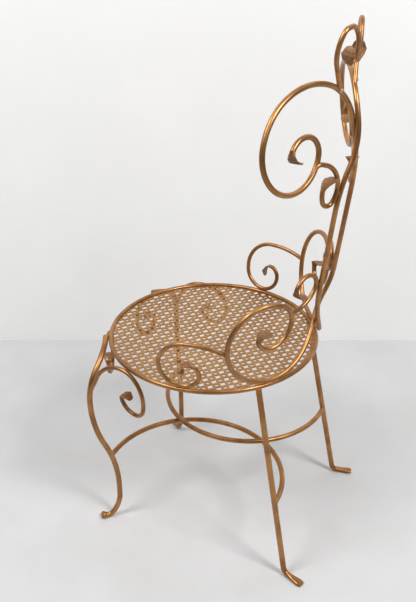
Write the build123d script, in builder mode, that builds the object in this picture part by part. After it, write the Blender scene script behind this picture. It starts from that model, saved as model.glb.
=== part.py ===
"""Wrought-iron side chair: a round perforated seat in a rod ring, scrolled front legs with brackets,
straight rear legs, two bowed stretchers, and a back and arms bent from two long crossing rods."""

import os
from math import atan2, ceil, cos, dist, hypot, pi, radians, sin, sqrt

from build123d import *

os.makedirs("parts", exist_ok=True)

# Bar stock, diameters in millimetres.
ring_d = 9.0
leg_d = 11.0
stretcher_d = 10.0
back_d = 9.0
scroll_d = 8.0
fit_gap = 0.1  # between rods that are welded side by side

# Seat. The ring's rod centre has this radius and height.
seat_r = 200.0
seat_z = 402.0
drawn_r = 200.0  # seat radius for which the places of legs and back are given below; they follow the ring
plate_t = 2.0
hole_pitch = 17.0
hole_size = 9.5  # across the corners of a diamond hole
plate_margin = 2.5  # unpierced edge of the plate

foot_flat = 0.4  # ground off under each foot

# Rear legs: straight, splayed backwards, with a flattened foot.
rear_top = (141.0, 148.0)
rear_heel = (165.0, 223.0)
rear_bend = 15.0
rear_foot = 27.0
rear_foot_w = 17.0

# Front legs: welded along the ring's outer side, out to a knee, in to an ankle, out to a foot.
front_top_angle = -62.0  # degrees round the seat from the chair's left
front_drop = 8.0  # degrees below level where the leg leaves the ring
knee = (188.7, -174.4)
knee_drop = 92.5  # below the ring
ankle = (148.6, -146.5)
ankle_z = 79.8
foot_angle = -50.0
foot_bends = ((75.0, 40.0), (13.0, 66.0))  # radius and turn, degrees
hoof_w = 15.0
hoof_l = 11.0

# Stretchers: level bows from front leg to rear leg that cross at the middle of the chair.
stretcher_z = 168.0
stretcher_reach = 31.0  # how far a bow passes the middle
stretcher_mid = 17.0  # where along the chair it does so

# Back, with heights above the ring. Two long rods cross at the top and bottom of a lens shape.
cross_low = 77.0
cross_high = 458.0
cross_high_y = 243.5
waist_low = (43.0, 219.0, 173.0)  # between its two waists a stile runs straight
waist_high = (45.5, 235.0, 313.0)
wing_turn = 23.0  # degrees by which the wings come forward
wing_lean = -8.0
arm_wrap = 140.0  # an arm follows the ring this far from the back, then goes on straight
arm_settle = 120.0  # over this length from the crossing the arms come to lie over the ring
arm_lean = (0.05, 0.15)  # how the arms splay: at the back, and where they go on straight
arm_front_angle = 10.0  # degrees round the seat, from its side, where the front scrolls stand on the ring
leaf_w = 25.0
leaf_t = 2.6
leaf_l = 27.0

# Scrolls: first heading in degrees, then bends of (radius, turn), left turns positive.
wing_bends = (76.0, (84.0, -58.0), (134.0, -45.0), (98.0, -45.0), (63.5, -90.0), (63.5, -90.0),
              (27.5, -90.0), (36.0, -72.0))
arm_bends = (-53.6, (163.0, 45.0), (98.5, 90.0), (76.5, 45.0), (66.5, 45.0), (56.5, 90.0),
             (39.5, 90.0), (27.5, 85.0))
arm_front_bends = (24.0, (155.0, -28.5), (52.0, -90.0), (41.0, -90.0), (29.5, -90.0), (23.5, -62.0))
arm_link_bends = (6.0, (58.0, 48.0), (20.0, 90.0), (29.0, 90.0), (21.0, 22.0))
arm_link_foot = (107.0, 189.0, 142.0)  # near this place on the arm
wing_link_bends = (63.0, (12.0, -79.0), (41.0, -60.0), (43.0, -52.0), (12.0, -125.0), (40.0, -28.0))
wing_link_foot = (91.0, 208.5, 395.0)  # near this place on the wing
loop_bends = (59.0, (0.0, 52.0), (45.0, 64.0), (15.0, 50.0), (15.0, 40.0), (50.0, 45.0), (27.0, 45.0),
              (9.5, 60.0))
loop_foot = (25.0, 226.0, 503.0)  # near this place on the wing
loop_turn = 17.0
loop_lean = 6.0
loop_even = 4.0  # leaned back more on the left and less on the right, as the wings pass each other
side_bracket_bends = (66.0, (53.0, -81.0), (58.0, -90.0), (24.5, -90.0), (32.0, -62.0))
side_bracket_rise = 20.0  # where it leaves the leg, above the knee
side_bracket_turn = -13.0  # degrees from straight back, as it leaves the leg
side_bracket_bow = 200.0  # radius at which it bends outwards, seen from above
front_bracket_bends = (0.0, (28.0, -58.0), (46.0, -30.0), (79.0, -30.0), (20.0, -113.0), (34.0, -43.0))
front_bracket_run = 40.0  # straight run under the ring
front_bracket_way = (-0.943, -0.333)
link_aim = 4.0  # a link is aimed this far to the outer side of its stile's middle
link_near = 90.0  # a link can touch its stile this far above or below its foot

# Radii at which the leaf ends go on curling.
back_curl = 13.0  # arms and wings
arm_front_curl = 12.0
side_bracket_curl = 11.0
front_bracket_curl = 14.0
arm_link_curl = 14.0
wing_link_curl = 20.0
loop_curl = 14.0


def with_seat(place):
    """A leg's place, moved out or in as far as the ring is from its drawn radius."""
    share = 1 + (seat_r - drawn_r) / hypot(*place)
    return place[0] * share, place[1] * share


rear_start, rear_end, knee_at, ankle_at = [with_seat(place) for place in (rear_top, rear_heel, knee, ankle)]

# Where the chair's origin lies along it: under the middle of its overall length.
rear_way = Vector(rear_end[0] - rear_start[0], rear_end[1] - rear_start[1], 0).normalized()
rear_reach = rear_end[1] + rear_way.Y * (rear_bend + rear_foot)
seat_y = (seat_r + ring_d / 2 - rear_reach) / 2

knee_z = seat_z - knee_drop
cross_z = seat_z + cross_low


def at(x, y, z):
    """A place given from the seat's axis, in the chair's frame."""
    return Vector(x, y + seat_y, z)


def behind(x, y, z):
    """A place of the back, given from the seat's axis and the ring's height; it follows the ring's rear."""
    return at(x, y + (seat_r - drawn_r), seat_z + z)


# Paths are lists of (start, direction, end): each an arc that leaves start along direction.
def arc_end(start, way, end):
    chord = end - start
    return (chord * (2 * chord.dot(way) / chord.dot(chord)) - way).normalized()


def is_straight(start, way, end):
    return (end - start).cross(way).length < 1e-5


def arc_points(start, way, end, step=1.0):
    chord = end - start
    if is_straight(start, way, end):
        count = ceil(chord.length / step)
        return [start + chord * (i / count) for i in range(count + 1)]
    aside = chord - way * chord.dot(way)
    sweep = 2 * atan2(aside.length, chord.dot(way))
    radius = chord.dot(chord) / (2 * aside.length)
    aside = aside.normalized()
    count = ceil(radius * sweep / step)
    turns = [sweep * i / count for i in range(count + 1)]
    return [start + way * (radius * sin(a)) + aside * (radius * (1 - cos(a))) for a in turns]


def path_points(path):
    return [point for run in path for point in arc_points(*run)]


def biarc(start, way, end, end_way):
    """Two arcs that leave start along way and reach end along end_way."""
    chord, both = end - start, way + end_way
    bend = 2 * (1 - way.dot(end_way))
    if bend < 1e-9:
        reach = chord.dot(chord) / (4 * chord.dot(end_way))
    else:
        reach = (sqrt(chord.dot(both) ** 2 + bend * chord.dot(chord)) - chord.dot(both)) / bend
    middle = (start + way * reach + end - end_way * reach) * 0.5
    return [(start, way, middle), (middle, arc_end(start, way, middle), end)]


def flat_nodes(start, heading, bends, most=200.0):
    """Ends of the bends as (u, v, heading), with no bend turning more than most degrees at once."""
    u, v, angle = start[0], start[1], radians(heading)
    nodes = [(u, v, angle)]
    for radius, turn in bends:
        if radius == 0 and turn < 1e-3:
            continue
        if radius == 0:
            u, v = u + turn * cos(angle), v + turn * sin(angle)
            nodes.append((u, v, angle))
            continue
        count = ceil(abs(turn) / most)
        bend = radius if turn > 0 else -radius
        for _ in range(count):
            turned = angle + radians(turn) / count
            u, v = u + bend * (sin(turned) - sin(angle)), v - bend * (cos(turned) - cos(angle))
            angle = turned
            nodes.append((u, v, angle))
    return nodes


def laid(nodes, lay):
    """A path through nodes, carried into space by lay(u, v)."""
    spots = []
    for u, v, angle in nodes:
        du, dv = 0.01 * cos(angle), 0.01 * sin(angle)
        spots.append((lay(u, v), (lay(u + du, v + dv) - lay(u - du, v - dv)).normalized()))
    path = []
    for (start, way), (end, end_way) in zip(spots, spots[1:]):
        if (arc_end(start, way, end) - end_way).length < 1e-4:
            path.append((start, way, end))
        else:
            path += biarc(start, way, end, end_way)
    return path


def sheet(origin, across, upward=Vector(0, 0, 1)):
    """A flat sheet through origin, as a lay function."""
    across = across.normalized()
    upward = (upward - across * upward.dot(across)).normalized()
    return lambda u, v: origin + across * u + upward * v


def bowed(origin, s, angle, radius):
    """An upright sheet, as a lay function: it leaves origin at an angle from straight back and bends outwards."""
    first = radians(angle)

    def lay(u, v):
        turn = first + u / radius
        return origin + Vector(s * radius * (cos(first) - cos(turn)), radius * (sin(turn) - sin(first)), v)
    return lay


def nearest(points, others):
    """Least distance between two rods' centre points."""
    spots, goals = [tuple(p) for p in points], [tuple(q) for q in others]
    return min(dist(p, q) for p in spots for q in goals)


def ring_distance(points):
    return min(hypot(hypot(p.X, p.Y - seat_y) - seat_r, p.Z - seat_z) for p in points)


def solved(distance, wanted, low, high):
    """The value between low and high at which distance(value) falls to wanted."""
    for _ in range(20):
        middle = (low + high) / 2
        low, high = (middle, high) if distance(middle) > wanted else (low, middle)
    return low


def rod(path, diameter):
    """A round rod along a path."""
    with BuildPart() as made:
        with BuildLine():
            for start, way, end in path:
                if is_straight(start, way, end):
                    Line(start, end)
                else:
                    TangentArc(start, end, tangent=way)
        with BuildSketch(Plane(origin=path[0][0], z_dir=path[0][1])):
            Circle(diameter / 2)
        sweep()
    return made.part


def leaf(path, diameter, radius):
    """The hammered end of a scroll: it goes on curling at a radius while it spreads and thins."""
    start, way, end = path[-1]
    tip_way = arc_end(start, way, end)
    chord = end - start
    inward = (chord - tip_way * chord.dot(tip_way)) * -1
    inward = inward.normalized()
    level = tip_way.cross(inward)
    sizes = ((0.0, diameter, diameter), (0.25, 0.55 * leaf_w, 0.7 * diameter),
             (0.5, 0.82 * leaf_w, 0.45 * diameter), (0.8, leaf_w, 1.1 * leaf_t),
             (1.0, 0.8 * leaf_w, 0.8 * leaf_t))
    with BuildPart() as made:
        for share, wide, thick in sizes:
            turn = share * leaf_l / radius
            spot = end + tip_way * (radius * sin(turn)) + inward * (radius * (1 - cos(turn)))
            along = tip_way * cos(turn) + inward * sin(turn)
            with BuildSketch(Plane(origin=spot, x_dir=level, z_dir=along)):
                Ellipse(wide / 2, thick / 2)
        loft(ruled=True)
    return made.part


def finish(built, name):
    built.part.label = name
    export_step(built.part, f"parts/{name}.step")


sides = (("left", 1), ("right", -1))
parts = {}

# Seat ring and perforated plate.
with BuildPart() as seat_ring:
    with BuildSketch(Plane(origin=at(0, 0, 0), x_dir=(1, 0, 0), z_dir=(0, -1, 0))) as ring_section:
        with Locations((seat_r, seat_z)):
            Circle(ring_d / 2)
    revolve(axis=Axis(at(0, 0, 0), (0, 0, 1)))
finish(seat_ring, "seat_ring")

plate_r = seat_r - ring_d / 2 - fit_gap / 2
reach = int(plate_r / hole_pitch) + 1
last_hole = plate_r - plate_margin - hole_size / 2
holes = [(i * hole_pitch, j * hole_pitch) for i in range(-reach, reach + 1) for j in range(-reach, reach + 1)
         if sqrt(i * i + j * j) * hole_pitch < last_hole]
corners = [(hole_size / 2, 0), (0, hole_size / 2), (-hole_size / 2, 0), (0, -hole_size / 2)]
with BuildPart() as seat_plate:
    with BuildSketch(Plane(origin=at(0, 0, seat_z - plate_t))):
        diamonds = [Wire.make_polygon([(x + dx, y + dy) for dx, dy in corners]) for x, y in holes]
        add(Face(Wire.make_circle(plate_r), diamonds))
    extrude(amount=plate_t)
finish(seat_plate, "seat_plate")

# Rear legs.
for side, s in sides:
    top = at(s * rear_start[0], rear_start[1], seat_z)
    out = Vector(s * rear_way.X, rear_way.Y, 0)
    heel = at(s * rear_end[0], rear_end[1], leg_d / 2 - foot_flat)
    down = (heel - top).normalized()
    tangent_l = rear_bend * sqrt((1 - down.dot(out)) / (1 + down.dot(out)))
    bend_in, bend_out = heel - down * tangent_l, heel + out * tangent_l
    path = [(top, down, bend_in), (bend_in, down, bend_out)]
    with BuildPart() as rear_leg:
        add(rod(path, leg_d))
        for share, wide, tall in ((0, leg_d, leg_d), (0.4, rear_foot_w * 0.85, 0.8 * leg_d),
                                  (0.8, rear_foot_w, 0.72 * leg_d), (1, rear_foot_w * 0.8, 0.6 * leg_d)):
            spot = bend_out + out * ((rear_bend + rear_foot - tangent_l) * share)
            spot.Z = tall / 2 - foot_flat
            with BuildSketch(Plane(origin=spot, x_dir=out.cross(Vector(0, 0, 1)), z_dir=out)):
                Ellipse(wide / 2, tall / 2)
        loft(ruled=True)
        add(seat_ring.part, mode=Mode.SUBTRACT)
        split(bisect_by=Plane.XY, keep=Keep.TOP)
    parts["rear_leg", s] = rear_leg.part, path_points(path)
    finish(rear_leg, f"rear_leg_{side}")

# Front legs.
front_r = seat_r + ring_d / 2 + leg_d / 2 + fit_gap / 2
turn, drop = radians(front_top_angle), radians(front_drop)
for side, s in sides:
    top = at(s * front_r * cos(turn), front_r * sin(turn), seat_z)
    top_way = Vector(-s * sin(turn) * cos(drop), cos(turn) * cos(drop), -sin(drop))
    plumb = Vector(0, 0, -1)
    bent, low = at(s * knee_at[0], knee_at[1], knee_z), at(s * ankle_at[0], ankle_at[1], ankle_z)
    foot_way = Vector(s * cos(radians(foot_angle)), sin(radians(foot_angle)), 0)
    foot = flat_nodes((0, 0), -90, foot_bends)
    lowest = min(p.Z for p in path_points(laid(foot, sheet(Vector(0, 0, 0), foot_way))))
    base = at(s * ankle_at[0], ankle_at[1], leg_d / 2 - foot_flat - lowest)
    path = biarc(top, top_way, bent, plumb) + biarc(bent, plumb, low, plumb)
    path += [(low, plumb, base)] + laid(foot, sheet(base, foot_way))
    tip, tip_way = path[-1][2], arc_end(*path[-1])
    with BuildPart() as front_leg:
        add(rod(path, leg_d))
        for share, wide, tall in ((0, leg_d, leg_d), (0.4, hoof_w, 1.25 * leg_d), (0.8, hoof_w, 1.3 * leg_d),
                                  (1, 0.7 * hoof_w, 0.9 * leg_d)):
            with BuildSketch(Plane(origin=tip + tip_way * (hoof_l * share), z_dir=tip_way,
                                   x_dir=foot_way.cross(Vector(0, 0, 1)))):
                Ellipse(wide / 2, tall / 2)
        loft(ruled=True)
        split(bisect_by=Plane.XY, keep=Keep.TOP)
    parts["front_leg", s] = front_leg.part, path_points(path)
    finish(front_leg, f"front_leg_{side}")


def at_height(points, height):
    """Where a rod's centre points pass a height."""
    for p, q in zip(points, points[1:]):
        if (p.Z - height) * (q.Z - height) <= 0 and p.Z != q.Z:
            return p + (q - p) * ((height - p.Z) / (q.Z - p.Z))


# Stretchers, one resting on the other where they cross.
for side, s in sides:
    height = stretcher_z - s * (stretcher_d + fit_gap) / 2
    front = at_height([p for p in parts["front_leg", s][1] if p.Z < knee_z], height)
    rear = at_height(parts["rear_leg", s][1], height)
    with BuildPart() as stretcher:
        with BuildLine() as bow:
            ThreePointArc(front, at(-s * stretcher_reach, stretcher_mid, height), rear)
        with BuildSketch(Plane(origin=bow.line @ 0, z_dir=bow.line % 0)):
            Circle(stretcher_d / 2)
        sweep()
        add(parts["front_leg", s][0], mode=Mode.SUBTRACT)
        add(parts["rear_leg", s][0], mode=Mode.SUBTRACT)
    finish(stretcher, f"stretcher_{side}")


def scroll(path, diameter, curl, seats, name):
    """A rod with a leaf end, cut where it meets the rods that it is welded to."""
    with BuildPart() as made:
        add(rod(path, diameter))
        add(leaf(path, diameter, curl))
        for seat in seats:
            add(seat, mode=Mode.SUBTRACT)
    finish(made, name)
    return made.part


# Brackets between a front leg and the seat ring.
ring_touch = (ring_d + scroll_d) / 2 + fit_gap
for side, s in sides:
    leg, leg_points = parts["front_leg", s]
    upper = [p for p in leg_points if p.Z > knee_z]
    foot = at_height(upper, knee_z + side_bracket_rise)
    lay = bowed(Vector(foot.X, foot.Y, 0), s, side_bracket_turn, side_bracket_bow)
    heading, *bends = side_bracket_bends

    def side_path(run):
        return laid(flat_nodes((0, foot.Z), heading, [(0, run), *bends], 50), lay)

    run = solved(lambda run: ring_distance(path_points(side_path(run))), ring_touch, 5, 120)
    scroll(side_path(run), scroll_d, side_bracket_curl, [leg], f"side_bracket_{side}")

    heading, *bends = front_bracket_bends
    across = Vector(s * front_bracket_way[0], front_bracket_way[1], 0)

    def front_path(height):
        foot = at_height(upper, height)
        lay = sheet(Vector(foot.X, foot.Y, 0), across)
        return laid(flat_nodes((0, height), heading, [(0, front_bracket_run), *bends]), lay)

    height = solved(lambda height: ring_distance(path_points(front_path(height))), ring_touch,
                    seat_z - 40, seat_z)
    scroll(front_path(height), scroll_d, front_bracket_curl, [leg], f"front_bracket_{side}")


def mirrored(way):
    return Vector(-way.X, way.Y, way.Z)


def half_gap(way):
    """Half the distance along the chair between two mirrored rods that cross with this direction."""
    upright = way.cross(mirrored(way)).normalized()
    return (back_d + fit_gap) / 2 / abs(upright.Y)


def arm_lay(s, apart):
    """Arms bend round the back of the seat: u is measured along the ring from the back, v upwards."""
    def lay(u, v):
        bent, beyond = min(u, arm_wrap) / seat_r, max(0, u - arm_wrap)
        lean = arm_lean[0] + (arm_lean[1] - arm_lean[0]) * min(u / arm_wrap, 1)
        radius = seat_r + lean * (v - seat_z)
        shift = s * apart * max(0, 1 - u / arm_settle) ** 2
        return at(s * (radius * sin(bent) + beyond * cos(bent)),
                  radius * cos(bent) - beyond * sin(bent) - shift, v)
    return lay


# Arms: from the lower crossing down to the ring, then up into a spiral.
heading, *bends = arm_bends
apart = half_gap(Vector(cos(radians(heading)), 0, sin(radians(heading))))
arm_touch = (ring_d + back_d) / 2 + fit_gap
arm_paths, arms, wing_paths, wings, stile_points = {}, {}, {}, {}, {}
for side, s in sides:
    lay = arm_lay(s, apart)

    def arm_path(run):
        return laid(flat_nodes((0, cross_z), heading, [(0, run), *bends], 50), lay)

    run = solved(lambda run: ring_distance(path_points(arm_path(run))), arm_touch, 0, 80)
    arm_paths[s] = arm_path(run)
    arms[s] = scroll(arm_paths[s], back_d, back_curl, [], f"arm_{side}")

    front_heading, *front_bends = arm_front_bends
    u, v, _ = flat_nodes((0, cross_z), heading, [(0, run), *bends[:2]])[-1]
    foot, turn = lay(u, v), radians(arm_front_angle)
    stand = at(s * seat_r * cos(turn), seat_r * sin(turn), seat_z + ring_touch)
    front_lay = sheet(foot, Vector(s * sin(turn), -cos(turn), 0), foot - stand)

    def front_path(run):
        runs = [*front_bends[:2], (0, run), *front_bends[2:]]
        return laid(flat_nodes((0, 0), front_heading, runs), front_lay)

    run = solved(lambda run: ring_distance(path_points(front_path(run))), ring_touch, 0, 80)
    scroll(front_path(run), scroll_d, arm_front_curl, [arms[s]], f"arm_front_{side}")

# Wings: from the upper crossing out, round and into a spiral.
heading, *bends = wing_bends
wing_way, lean = radians(wing_turn), radians(wing_lean)
for side, s in sides:
    across = Vector(s * cos(wing_way), -sin(wing_way), 0)
    upward = Vector(0, sin(lean), cos(lean))
    first = laid(flat_nodes((0, 0), heading, bends), sheet(Vector(0, 0, 0), across, upward))[0][1]
    origin = behind(0, cross_high_y - s * half_gap(first), cross_high)
    wing_paths[s] = laid(flat_nodes((0, 0), heading, bends), sheet(origin, across, upward))
    wings[s] = scroll(wing_paths[s], back_d, back_curl, [], f"wing_{side}")

# Stiles: each joins one side's wing, over the crossings, to the same side's arm.
for side, s in sides:
    low, low_way = arm_paths[-s][0][0], arm_paths[-s][0][1] * -1
    high, high_way = wing_paths[-s][0][:2]
    waist = [behind(s * x, y, z) for x, y, z in (waist_low, waist_high)]
    up = (waist[1] - waist[0]).normalized()
    path = biarc(low, low_way, waist[0], up) + [(waist[0], up, waist[1])] + biarc(waist[1], up, high, high_way)
    with BuildPart() as stile:
        add(rod(path, back_d))
    finish(stile, f"stile_{side}")
    stile_points[s] = path_points(path)

# Small links from arm to stile and from wing to stile, and the loops on top.
link_touch = (scroll_d + back_d) / 2 + fit_gap


def nearest_point(points, place):
    return min(points, key=lambda p: (p - place).length)


for side, s in sides:
    def link(carrier, place, bends_of, before):
        foot = nearest_point(path_points(carrier), behind(s * place[0], place[1], place[2]))
        to = at_height(stile_points[s], foot.Z) + Vector(s * link_aim, 0, 0)
        lay = sheet(Vector(foot.X, foot.Y, 0), Vector(to.X - foot.X, to.Y - foot.Y, 0))
        heading, *bends = bends_of

        def link_path(run):
            runs = [*bends[:before], (0, run), *bends[before:]]
            return laid(flat_nodes((0, foot.Z), heading, runs), lay)

        near = [p for p in stile_points[s] if abs(p.Z - foot.Z) < link_near]
        run = solved(lambda run: nearest(path_points(link_path(run)), near), link_touch, 0, 60)
        return link_path(run)

    scroll(link(arm_paths[s], arm_link_foot, arm_link_bends, 0), scroll_d, arm_link_curl, [arms[s]],
           f"arm_link_{side}")
    scroll(link(wing_paths[s], wing_link_foot, wing_link_bends, 1), scroll_d, wing_link_curl, [wings[s]],
           f"wing_link_{side}")

    beside = behind(s * loop_foot[0], loop_foot[1] - s * back_d / 2, loop_foot[2])
    foot = nearest_point(path_points(wing_paths[s]), beside)
    turned, lean = radians(loop_turn), radians(loop_lean + s * loop_even)
    lay = sheet(foot, Vector(s * cos(turned), -sin(turned), 0), Vector(0, sin(lean), cos(lean)))
    heading, *bends = loop_bends

    def loop_path(run):
        return laid(flat_nodes((0, 0), heading, [*bends[:3], (0, run), *bends[3:]]), lay)

    run = solved(lambda run: min(s * p.X for p in path_points(loop_path(run))), (scroll_d + fit_gap) / 2, 0, 60)
    scroll(loop_path(run), scroll_d, loop_curl, [wings[s]], f"top_loop_{side}")
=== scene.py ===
"""A copper-bronze painted iron chair, dressed over its solids: bent rods, hammered leaf ends, weld beads
and a seat sheet pierced with stars and dots."""

from math import cos, pi, radians, sin

import bpy
from mathutils import Matrix, Vector
from mathutils.bvhtree import BVHTree


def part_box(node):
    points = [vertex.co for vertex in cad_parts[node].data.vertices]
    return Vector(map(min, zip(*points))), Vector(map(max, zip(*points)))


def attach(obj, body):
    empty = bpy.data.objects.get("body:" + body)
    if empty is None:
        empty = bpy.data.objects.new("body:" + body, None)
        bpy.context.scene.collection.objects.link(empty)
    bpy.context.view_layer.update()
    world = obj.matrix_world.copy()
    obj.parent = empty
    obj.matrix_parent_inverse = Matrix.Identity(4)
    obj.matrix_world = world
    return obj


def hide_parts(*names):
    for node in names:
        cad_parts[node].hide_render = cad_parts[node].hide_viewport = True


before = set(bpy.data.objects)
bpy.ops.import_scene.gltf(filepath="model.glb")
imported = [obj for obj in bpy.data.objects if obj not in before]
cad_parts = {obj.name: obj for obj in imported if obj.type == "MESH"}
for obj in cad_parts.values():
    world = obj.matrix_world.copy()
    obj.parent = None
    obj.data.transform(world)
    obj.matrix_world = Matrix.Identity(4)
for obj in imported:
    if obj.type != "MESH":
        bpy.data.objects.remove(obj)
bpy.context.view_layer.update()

MM = 0.001
ring_low, ring_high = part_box("seat_ring")
plate_low, plate_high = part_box("seat_plate")
SEAT = (ring_low + ring_high) / 2  # middle of the seat ring
PLATE_R = (plate_high.x - plate_low.x) / 2


def rgb(red, green, blue):
    """A colour written as it looks on screen, 0 to 255."""
    def linear(c):
        c /= 255
        return c / 12.92 if c <= 0.04045 else ((c + 0.055) / 1.055) ** 2.4
    return (linear(red), linear(green), linear(blue), 1)


# Paint.
BRONZE_DEEP = rgb(146, 98, 52)
BRONZE_PALE = rgb(182, 131, 76)
BRONZE_WORN = rgb(112, 72, 38)
BRONZE_SPECK = rgb(200, 160, 112)
LEAF_DARK = rgb(104, 68, 40)
LEAF_GRAIN = rgb(156, 112, 74)
SHEET_TINT = rgb(184, 140, 86)
WELD_COLOURS = rgb(134, 88, 54), rgb(164, 114, 74)
BRIGHT_WELD_COLOURS = rgb(168, 136, 118), rgb(208, 190, 178)
FLOOR_COLOURS = rgb(202, 202, 203), rgb(196, 196, 196)
WALL_COLOURS = rgb(244, 244, 243), rgb(240, 240, 239)

# The seat sheet's pattern.
PITCH = 17 * MM
STAR_ACROSS = 14.4 * MM
STAR_WAIST = 8.8 * MM
DOT_ACROSS = 6.8 * MM
PUNCH_SIDES = 8
PUNCH_TALL = 8 * MM
TRIM_SIDES = 96
MERGE_WITHIN = 1e-5  # neighbouring cells' points closer than this become one

# Rods that run past each other and are welded where they touch. A pair without a side is there twice.
WELDED = [("arm", "seat_ring"), ("arm_front", "seat_ring"), ("arm_link", "stile"), ("wing_link", "stile"),
          ("side_bracket", "seat_ring"), ("front_bracket", "seat_ring"), ("front_leg", "seat_ring")]
WELDED_ACROSS = [("wing_left", "wing_right"), ("arm_left", "arm_right"),
                 ("stretcher_left", "stretcher_right")]
BRIGHT_WELDS = [("top_loop_left", "top_loop_right"), ("top_loop_left", "wing_left"),
                ("top_loop_right", "wing_right")]
BEAD_ACROSS = 9.0 * MM
BEAD_THICK = 5.0 * MM
BEAD_UNEVEN = 0.1  # share of its width by which a bead's points stray
BEAD_SEED = 7

# The scrolls, which end in hammered leaves.
SCROLLS = ("arm", "arm_front", "arm_link", "wing", "wing_link", "top_loop", "side_bracket",
           "front_bracket")
LEAF_THICK = 4.5 * MM  # a leaf is thinner than this
LEAF_THIN = 1 * MM  # and thicker than this
LEAF_REACH = 24 * MM  # it lies within this of its middle
LEAF_BARE = 13 * MM, 19 * MM  # its dull paint ends between these distances from its middle
SKIN = 0.05 * MM  # thickness is felt from this far under a face
TIP_SIDES = 40
TIP_LAP = 0.4 * MM  # how far a leaf's rounded tip reaches into the leaf
TIP_EASE_STEPS = 3
TIP_SMOOTH_ANGLE = radians(40)

# The camera, as it stood for the photograph of 416 by 602 pixels.
PHOTO_TALL = 602
CAMERA_AZIMUTH = 113.91
CAMERA_HEIGHT_ANGLE = 29.04
CAMERA_DISTANCE = 1.562
CAMERA_FOCAL_PIXELS = 811.0
CAMERA_AIM = Vector((0, SEAT.y - 0.0116, 0.4705))
SENSOR = 36  # its longer side, in millimetres

# Room and light.
ROOM_ACROSS = 12
WALL_BEHIND = 0.62  # from the seat's middle, straight away from the camera
ROOM_LIGHT = 0.18
LAMP_AIM = Vector((SEAT.x, SEAT.y, 0.5))


# Shader maths.
class Value:
    """A shader socket that takes part in sums."""

    def __init__(self, shader, socket):
        self.shader, self.socket = shader, socket

    def _math(self, operation, a, b):
        return self.shader.node("ShaderNodeMath", {"operation": operation}, {0: a, 1: b})

    def __add__(self, other):
        return self._math("ADD", self, other)

    def __radd__(self, other):
        return self._math("ADD", other, self)

    def __sub__(self, other):
        return self._math("SUBTRACT", self, other)

    def __rsub__(self, other):
        return self._math("SUBTRACT", other, self)

    def __mul__(self, other):
        return self._math("MULTIPLY", self, other)

    def __rmul__(self, other):
        return self._math("MULTIPLY", other, self)


class Shader:
    """One material's nodes."""

    def __init__(self, name):
        self.material = bpy.data.materials.new(name)
        self.material.use_nodes = True
        self.tree = self.material.node_tree
        self.tree.nodes.clear()

    def node(self, kind, settings=None, sockets=None, output=0):
        """A node with its settings, then its sockets' values or links; gives back one of its outputs."""
        made = self.tree.nodes.new(kind)
        for key, value in (settings or {}).items():
            setattr(made, key, value)
        for key, value in (sockets or {}).items():
            if isinstance(value, Value):
                self.tree.links.new(value.socket, made.inputs[key])
            else:
                made.inputs[key].default_value = value
        return Value(self, made.outputs[output]) if made.outputs else None

    def place(self):
        """Object coordinates."""
        return self.node("ShaderNodeTexCoord", output=3)

    def noise(self, scale, detail=3.0, roughness=0.55):
        return self.node("ShaderNodeTexNoise", {}, {"Vector": self.place(), "Scale": scale,
                                                    "Detail": detail, "Roughness": roughness})

    def smooth(self, value, low, high):
        return self.node("ShaderNodeMapRange", {"interpolation_type": "SMOOTHSTEP"},
                         {"Value": value, "From Min": low, "From Max": high})

    def mix(self, factor, a, b):
        return self.node("ShaderNodeMix", {"data_type": "RGBA"}, {0: factor, 6: a, 7: b}, output=2)

    def bump(self, strength, distance, height):
        return self.node("ShaderNodeBump", {}, {"Strength": strength, "Distance": distance, "Height": height})

    def finish(self, shader):
        self.node("ShaderNodeOutputMaterial", {}, {"Surface": shader})
        return self.material

    def surface(self, **sockets):
        names = {key.replace("_", " "): value for key, value in sockets.items()}
        return self.node("ShaderNodeBsdfPrincipled", {}, names)


def bronze_paint(name, leaf=None, hammered=False, sheet=False):
    """Satin copper-bronze paint: cloudy colour, duller worn patches, pale specks and a fine uneven coat.
    It is darker, matt and grainy on the hammered leaf round the given point, or all over if hammered."""
    s = Shader(name)
    cloud = s.smooth(s.noise(scale=14, detail=4), 0.32, 0.68)
    patch = s.smooth(s.noise(scale=46, detail=5, roughness=0.6), 0.45, 0.72)
    flake = s.noise(scale=2600, detail=1, roughness=0.5)
    speck = s.smooth(s.noise(scale=520, detail=2, roughness=0.6), 0.62, 0.74)
    colour = s.mix(cloud, BRONZE_DEEP, BRONZE_PALE)
    colour = s.mix(patch * 0.55, colour, BRONZE_WORN)
    colour = s.mix(speck * 0.25, colour, BRONZE_SPECK)
    rough = 0.33 + 0.06 * cloud + 0.12 * patch
    metal = 0.9 - 0.2 * patch
    if leaf or hammered:
        bare = 1.0
        if leaf:
            far = s.node("ShaderNodeVectorMath", {"operation": "DISTANCE"}, {0: s.place(), 1: leaf}, output=1)
            bare = 1 - s.smooth(far, *LEAF_BARE)
        grain = s.smooth(s.noise(scale=700, detail=3, roughness=0.65), 0.4, 0.62)
        colour = s.mix(bare * 0.85, colour, s.mix(grain, LEAF_DARK, LEAF_GRAIN))
        rough = rough + 0.25 * bare
        metal = metal - 0.4 * bare
    if sheet:
        colour = s.mix(0.5, colour, SHEET_TINT)
        rough = rough + 0.1
    coat = s.bump(0.18, 0.25 * MM, flake * 0.3 + s.noise(scale=330, detail=4) * 0.7)
    return s.finish(s.surface(Base_Color=colour, Roughness=rough, Metallic=metal, Normal=coat,
                              Coat_Weight=0.25, Coat_Roughness=0.25))


def weld_paint(name, dark, pale):
    """Weld bead: rougher than the rods and rippled."""
    s = Shader(name)
    ripple = s.smooth(s.noise(scale=420), 0.35, 0.7)
    return s.finish(s.surface(Base_Color=s.mix(ripple, dark, pale), Roughness=0.42 + 0.15 * ripple,
                              Metallic=0.5, Normal=s.bump(0.5, 0.6 * MM, s.noise(scale=260, detail=4))))


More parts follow.
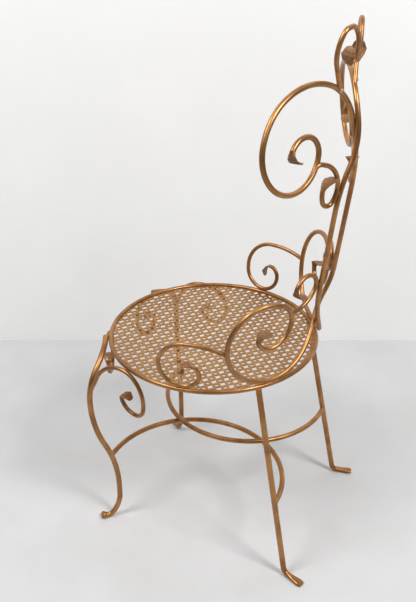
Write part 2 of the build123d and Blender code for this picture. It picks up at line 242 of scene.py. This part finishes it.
def chalk(name, base, other, scale):
    """Matt paint of the wall and floor, faintly cloudy, and clear from behind so that no view is blocked."""
    s = Shader(name)
    cloud = s.smooth(s.noise(scale, detail=5), 0.3, 0.7)
    paint = s.surface(Base_Color=s.mix(cloud, base, other), Roughness=0.85)
    behind = s.node("ShaderNodeNewGeometry", output=6)
    clear = s.node("ShaderNodeBsdfTransparent")
    return s.finish(s.node("ShaderNodeMixShader", {}, {0: behind, 1: paint, 2: clear}))


# Modelling helpers.
def fresh():
    """Object mode with nothing selected."""
    if bpy.context.object and bpy.context.object.mode != "OBJECT":
        bpy.ops.object.mode_set(mode="OBJECT")
    bpy.ops.object.select_all(action="DESELECT")


def only(obj):
    fresh()
    obj.select_set(True)
    bpy.context.view_layer.objects.active = obj


def named(name):
    obj = bpy.context.object
    obj.name = obj.data.name = name
    return obj


def applied(obj):
    only(obj)
    bpy.ops.object.transform_apply(location=True, rotation=True, scale=True)
    return obj


def modify(obj, kind, **settings):
    modifier = obj.modifiers.new(kind.lower(), kind)
    for key, value in settings.items():
        setattr(modifier, key, value)
    only(obj)
    bpy.ops.object.modifier_apply(modifier=modifier.name)


def joined(pieces):
    fresh()
    for piece in pieces:
        piece.select_set(True)
    bpy.context.view_layer.objects.active = pieces[0]
    if len(pieces) > 1:
        bpy.ops.object.join()
    return pieces[0]


def copies(first, count):
    """The first piece and further ones with a mesh of their own."""
    made = [first]
    for _ in range(count - 1):
        piece = first.copy()
        piece.data = first.data.copy()
        bpy.context.scene.collection.objects.link(piece)
        made.append(piece)
    return made


def remove(*objects):
    for obj in objects:
        mesh = obj.data
        bpy.data.objects.remove(obj)
        bpy.data.meshes.remove(mesh)


def dressed(obj, material):
    obj.data.materials.clear()
    obj.data.materials.append(material)
    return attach(obj, "root")


def pick(obj, kind, wanted):
    """Edit mode with the wanted faces, of kind FACE, or points, of kind VERT, picked."""
    only(obj)
    bpy.ops.object.mode_set(mode="EDIT")
    bpy.ops.mesh.select_mode(type=kind)
    bpy.ops.mesh.select_all(action="DESELECT")
    bpy.ops.object.mode_set(mode="OBJECT")
    for element in obj.data.polygons if kind == "FACE" else obj.data.vertices:
        element.select = wanted(element)
    bpy.ops.object.mode_set(mode="EDIT")


def pick_all(obj):
    """Edit mode with the whole mesh picked."""
    only(obj)
    bpy.ops.object.mode_set(mode="EDIT")
    bpy.ops.mesh.select_all(action="SELECT")


def face_outwards():
    """Turns the edited mesh's faces outwards and leaves edit mode."""
    bpy.ops.mesh.select_all(action="SELECT")
    bpy.ops.mesh.normals_make_consistent(inside=False)
    bpy.ops.object.mode_set(mode="OBJECT")


def raise_up(height):
    """Makes the edited flat outline a prism and leaves edit mode."""
    bpy.ops.mesh.select_all(action="SELECT")
    bpy.ops.mesh.extrude_region_move(TRANSFORM_OT_translate={"value": (0, 0, height)})
    face_outwards()


# The seat sheet.
def punch(name, across, waist, places):
    """Upright prisms with every second corner drawn in to the waist, to cut holes of one shape."""
    made = []
    for x, y in places:
        foot = (x, y, -PUNCH_TALL / 2)
        fresh()
        bpy.ops.mesh.primitive_circle_add(vertices=PUNCH_SIDES, radius=across / 2, fill_type="NGON",
                                          location=foot)
        obj = named(name)
        pick(obj, "VERT", lambda vertex: vertex.index % 2 == 1)
        bpy.ops.transform.resize(value=(waist / across,) * 3, center_override=foot)
        raise_up(PUNCH_TALL)
        made.append(applied(obj))
    return joined(made)


def seat_sheet():
    """One pierced cell, repeated over the seat, trimmed round and given its thickness."""
    thick = plate_high.z - plate_low.z
    fresh()
    bpy.ops.mesh.primitive_cube_add(size=1)
    cell = named("pierced_sheet")
    cell.scale = (PITCH, PITCH, thick)
    applied(cell)
    half = PITCH / 2
    star = punch("star_punch", STAR_ACROSS, STAR_WAIST, [(0, 0)])
    dots = punch("dot_punch", DOT_ACROSS, DOT_ACROSS,
                 [(-half, -half), (half, -half), (half, half), (-half, half)])
    for tool in (star, dots):
        modify(cell, "BOOLEAN", operation="DIFFERENCE", object=tool, solver="EXACT")
    remove(star, dots)
    pick(cell, "FACE", lambda face: face.normal.z < 0.5)  # only the top is repeated
    bpy.ops.mesh.delete(type="FACE")
    bpy.ops.mesh.select_all(action="SELECT")
    bpy.ops.mesh.quads_convert_to_tris()
    bpy.ops.object.mode_set(mode="OBJECT")
    reach = int(PLATE_R / PITCH) + 1  # cells on each side of the middle one
    for step in ((PITCH, 0, 0), (0, PITCH, 0)):
        modify(cell, "ARRAY", count=2 * reach + 1, use_relative_offset=False, use_constant_offset=True,
               constant_offset_displace=step, use_merge_vertices=True, merge_threshold=MERGE_WITHIN)
    cell.location = (SEAT.x - reach * PITCH, SEAT.y - reach * PITCH, plate_high.z - thick / 2)
    applied(cell)
    bpy.ops.object.mode_set(mode="EDIT")
    for side in range(TRIM_SIDES):
        turn = 2 * pi * side / TRIM_SIDES
        outward = Vector((cos(turn), sin(turn), 0))
        bpy.ops.mesh.select_all(action="SELECT")
        bpy.ops.mesh.bisect(plane_co=SEAT + outward * PLATE_R * cos(pi / TRIM_SIDES), plane_no=outward,
                            clear_outer=True)
    bpy.ops.object.mode_set(mode="OBJECT")
    modify(cell, "SOLIDIFY", thickness=thick, offset=-1, use_even_offset=True)
    pick_all(cell)
    face_outwards()
    dressed(cell, bronze_paint("bronze_sheet", sheet=True))
    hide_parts("seat_plate")


# What the solids tell.
def surface_of(obj):
    return BVHTree.FromObject(obj, bpy.context.evaluated_depsgraph_get())


def thickness_at(tree, face):
    """How thick the solid is under a face, or None if no leaf is that thick."""
    return tree.ray_cast(face.center - face.normal * SKIN, -face.normal, LEAF_THICK)[3]


def leaf_middle(obj):
    """Middle of a rod's flattened end, where the solid is thin, or None."""
    tree = surface_of(obj)
    middle, total = Vector(), 0.0
    for face in obj.data.polygons:
        thick = thickness_at(tree, face)
        if thick is not None and thick > LEAF_THIN:
            middle += face.center * face.area
            total += face.area
    return middle / total if total else None


def leaf_end(obj, middle):
    """The flat end of a leaf: its middle, a turn with X along the width and Y out of it, and its sizes."""
    tree = surface_of(obj)
    flats = {}  # faces by the plane that they lie in
    for face in obj.data.polygons:
        if (face.center - middle).length < LEAF_REACH and thickness_at(tree, face) is None:
            plane = (*(round(n, 2) for n in face.normal), round(face.normal.dot(face.center) / MM, 1))
            flats.setdefault(plane, []).append(face)
    end = max(flats.values(), key=lambda faces: sum(face.area for face in faces))
    total = sum(face.area for face in end)
    centre = sum((face.center * face.area for face in end), Vector()) / total
    out = sum((face.normal * face.area for face in end), Vector()).normalized()
    corners = [obj.data.vertices[i].co - centre for face in end for i in face.vertices]
    along = max(corners, key=lambda corner: corner.length)
    along = (along - out * along.dot(out)).normalized()
    up = along.cross(out)
    width = max(c.dot(along) for c in corners) - min(c.dot(along) for c in corners)
    thick = max(c.dot(up) for c in corners) - min(c.dot(up) for c in corners)
    return centre, Matrix((along, out, up)).transposed(), width, thick


def contact(one, other):
    """The place where two rods come closest, and the way from one to the other there."""
    tree = surface_of(other)
    hits = [tree.find_nearest(vertex.co) for vertex in one.data.vertices]
    nearest = min(range(len(hits)), key=lambda i: hits[i][3])
    place = one.data.vertices[nearest]
    return (place.co + hits[nearest][0]) / 2, place.normal


# What the solids lack.
def half_disc(across, thick):
    """A leaf's rounded end, lying flat: half a disc with eased edges, its straight side along X."""
    fresh()
    bpy.ops.mesh.primitive_circle_add(vertices=TIP_SIDES, radius=across / 2, fill_type="NGON",
                                      location=(0, -TIP_LAP, -thick / 2))
    tip = applied(named("leaf_tips"))
    pick_all(tip)
    bpy.ops.mesh.bisect(plane_co=(0, -TIP_LAP, 0), plane_no=(0, 1, 0), clear_inner=True)
    raise_up(thick)
    modify(tip, "BEVEL", width=thick / 3, segments=TIP_EASE_STEPS, limit_method="ANGLE")
    bpy.ops.object.shade_smooth_by_angle(angle=TIP_SMOOTH_ANGLE)
    return tip


def leaf_tips(leaves):
    """The rounded tongue that ends each hammered leaf."""
    ends = [leaf_end(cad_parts[name], middle) for name, middle in leaves.items()]
    across, thick = ends[0][2:]
    tips = copies(half_disc(across, thick), len(ends))
    for tip, (centre, turn, end_across, end_thick) in zip(tips, ends):
        tip.location, tip.rotation_euler = centre, turn.to_euler()
        tip.scale = (end_across / across, end_across / across, end_thick / thick)
        applied(tip)
    dressed(joined(tips), bronze_paint("bronze_leaf_tips", hammered=True))


def weld_beads(name, pairs, material):
    """A flattened, slightly uneven bead in the groove between each pair of rods."""
    fresh()
    bpy.ops.mesh.primitive_ico_sphere_add(subdivisions=2, radius=BEAD_ACROSS / 2)
    first = named(name)
    pick_all(first)
    bpy.ops.transform.vertex_random(offset=BEAD_UNEVEN * BEAD_ACROSS, uniform=0.4, normal=0.6,
                                    seed=BEAD_SEED)
    bpy.ops.mesh.vertices_smooth(factor=0.4)
    bpy.ops.transform.resize(value=(1, 1, BEAD_THICK / BEAD_ACROSS), center_override=(0, 0, 0))
    bpy.ops.object.mode_set(mode="OBJECT")
    modify(first, "SUBSURF", levels=2, render_levels=2)
    bpy.ops.object.shade_smooth()
    beads = copies(first, len(pairs))
    for bead, (one, other) in zip(beads, pairs):
        bead.location, way = contact(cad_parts[one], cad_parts[other])
        bead.rotation_euler = way.to_track_quat("Z", "Y").to_euler()
        applied(bead)
    dressed(joined(beads), material)


# Room, light and camera.
def point_at(obj, target):
    obj.rotation_euler = (target - obj.location).to_track_quat("-Z", "Y").to_euler()


def away():
    """Level direction from the camera to the chair, and the one to the picture's right."""
    azimuth = radians(CAMERA_AZIMUTH)
    ahead = Vector((-sin(azimuth), cos(azimuth), 0))
    return ahead, Vector((ahead.y, -ahead.x, 0))


def set_camera():
    azimuth, rise = radians(CAMERA_AZIMUTH), radians(CAMERA_HEIGHT_ANGLE)
    back = Vector((sin(azimuth) * cos(rise), -cos(azimuth) * cos(rise), sin(rise)))
    data = bpy.data.cameras.new("camera")
    camera = bpy.data.objects.new("camera", data)
    bpy.context.scene.collection.objects.link(camera)
    camera.location = CAMERA_AIM + back * CAMERA_DISTANCE
    point_at(camera, CAMERA_AIM)
    data.sensor_width = SENSOR
    data.lens = CAMERA_FOCAL_PIXELS / PHOTO_TALL * SENSOR
    bpy.context.scene.camera = camera


def lamp(name, back, beside, up, size, power):
    """A round lamp aimed at the chair, placed from it towards the camera, to the picture's right and up."""
    ahead, right = away()
    data = bpy.data.lights.new(name, "AREA")
    data.shape, data.size, data.energy = "DISK", size, power
    obj = bpy.data.objects.new(name, data)
    bpy.context.scene.collection.objects.link(obj)
    obj.location = LAMP_AIM - ahead * back + right * beside + Vector((0, 0, up))
    point_at(obj, LAMP_AIM)


def set_room():
    ahead, right = away()
    fresh()
    bpy.ops.mesh.primitive_plane_add(size=ROOM_ACROSS, location=(0, 0, 0))
    floor = applied(named("floor"))
    floor.data.materials.append(chalk("floor_paint", *FLOOR_COLOURS, scale=5))
    fresh()
    bpy.ops.mesh.primitive_plane_add(size=ROOM_ACROSS,
                                     location=Vector((SEAT.x, SEAT.y, 0)) + ahead * WALL_BEHIND)
    wall = named("wall")
    wall.rotation_euler = (pi / 2, 0, right.to_2d().angle_signed(Vector((1, 0))))
    applied(wall)
    wall.data.materials.append(chalk("wall_paint", *WALL_COLOURS, scale=3))
    world = bpy.data.worlds.new("studio")
    bpy.context.scene.world = world
    world.use_nodes = True
    world.node_tree.nodes["Background"].inputs["Color"].default_value = (1, 1, 1, 1)
    world.node_tree.nodes["Background"].inputs["Strength"].default_value = ROOM_LIGHT
    lamp("key", back=1.5, beside=1.7, up=2.5, size=1.0, power=80)
    lamp("fill", back=0.9, beside=-1.5, up=2.4, size=1.2, power=56)


def main():
    bpy.context.scene.view_settings.view_transform = "Standard"
    set_camera()
    set_room()
    leaves = {}  # middle of the leaf by the name of its rod
    for name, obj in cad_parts.items():
        if name != "seat_plate":
            middle = leaf_middle(obj) if name.rsplit("_", 1)[0] in SCROLLS else None
            obj.data.materials.clear()
            obj.data.materials.append(bronze_paint(f"bronze_{name}", middle))
            if middle:
                leaves[name] = middle
    leaf_tips(leaves)
    seat_sheet()
    joints = [(f"{one}_{side}", other if other == "seat_ring" else f"{other}_{side}")
              for one, other in WELDED for side in ("left", "right")]
    weld_beads("weld_beads", joints + WELDED_ACROSS, weld_paint("weld_paint", *WELD_COLOURS))
    weld_beads("bright_weld_beads", BRIGHT_WELDS, weld_paint("bright_weld_paint", *BRIGHT_WELD_COLOURS))


main()
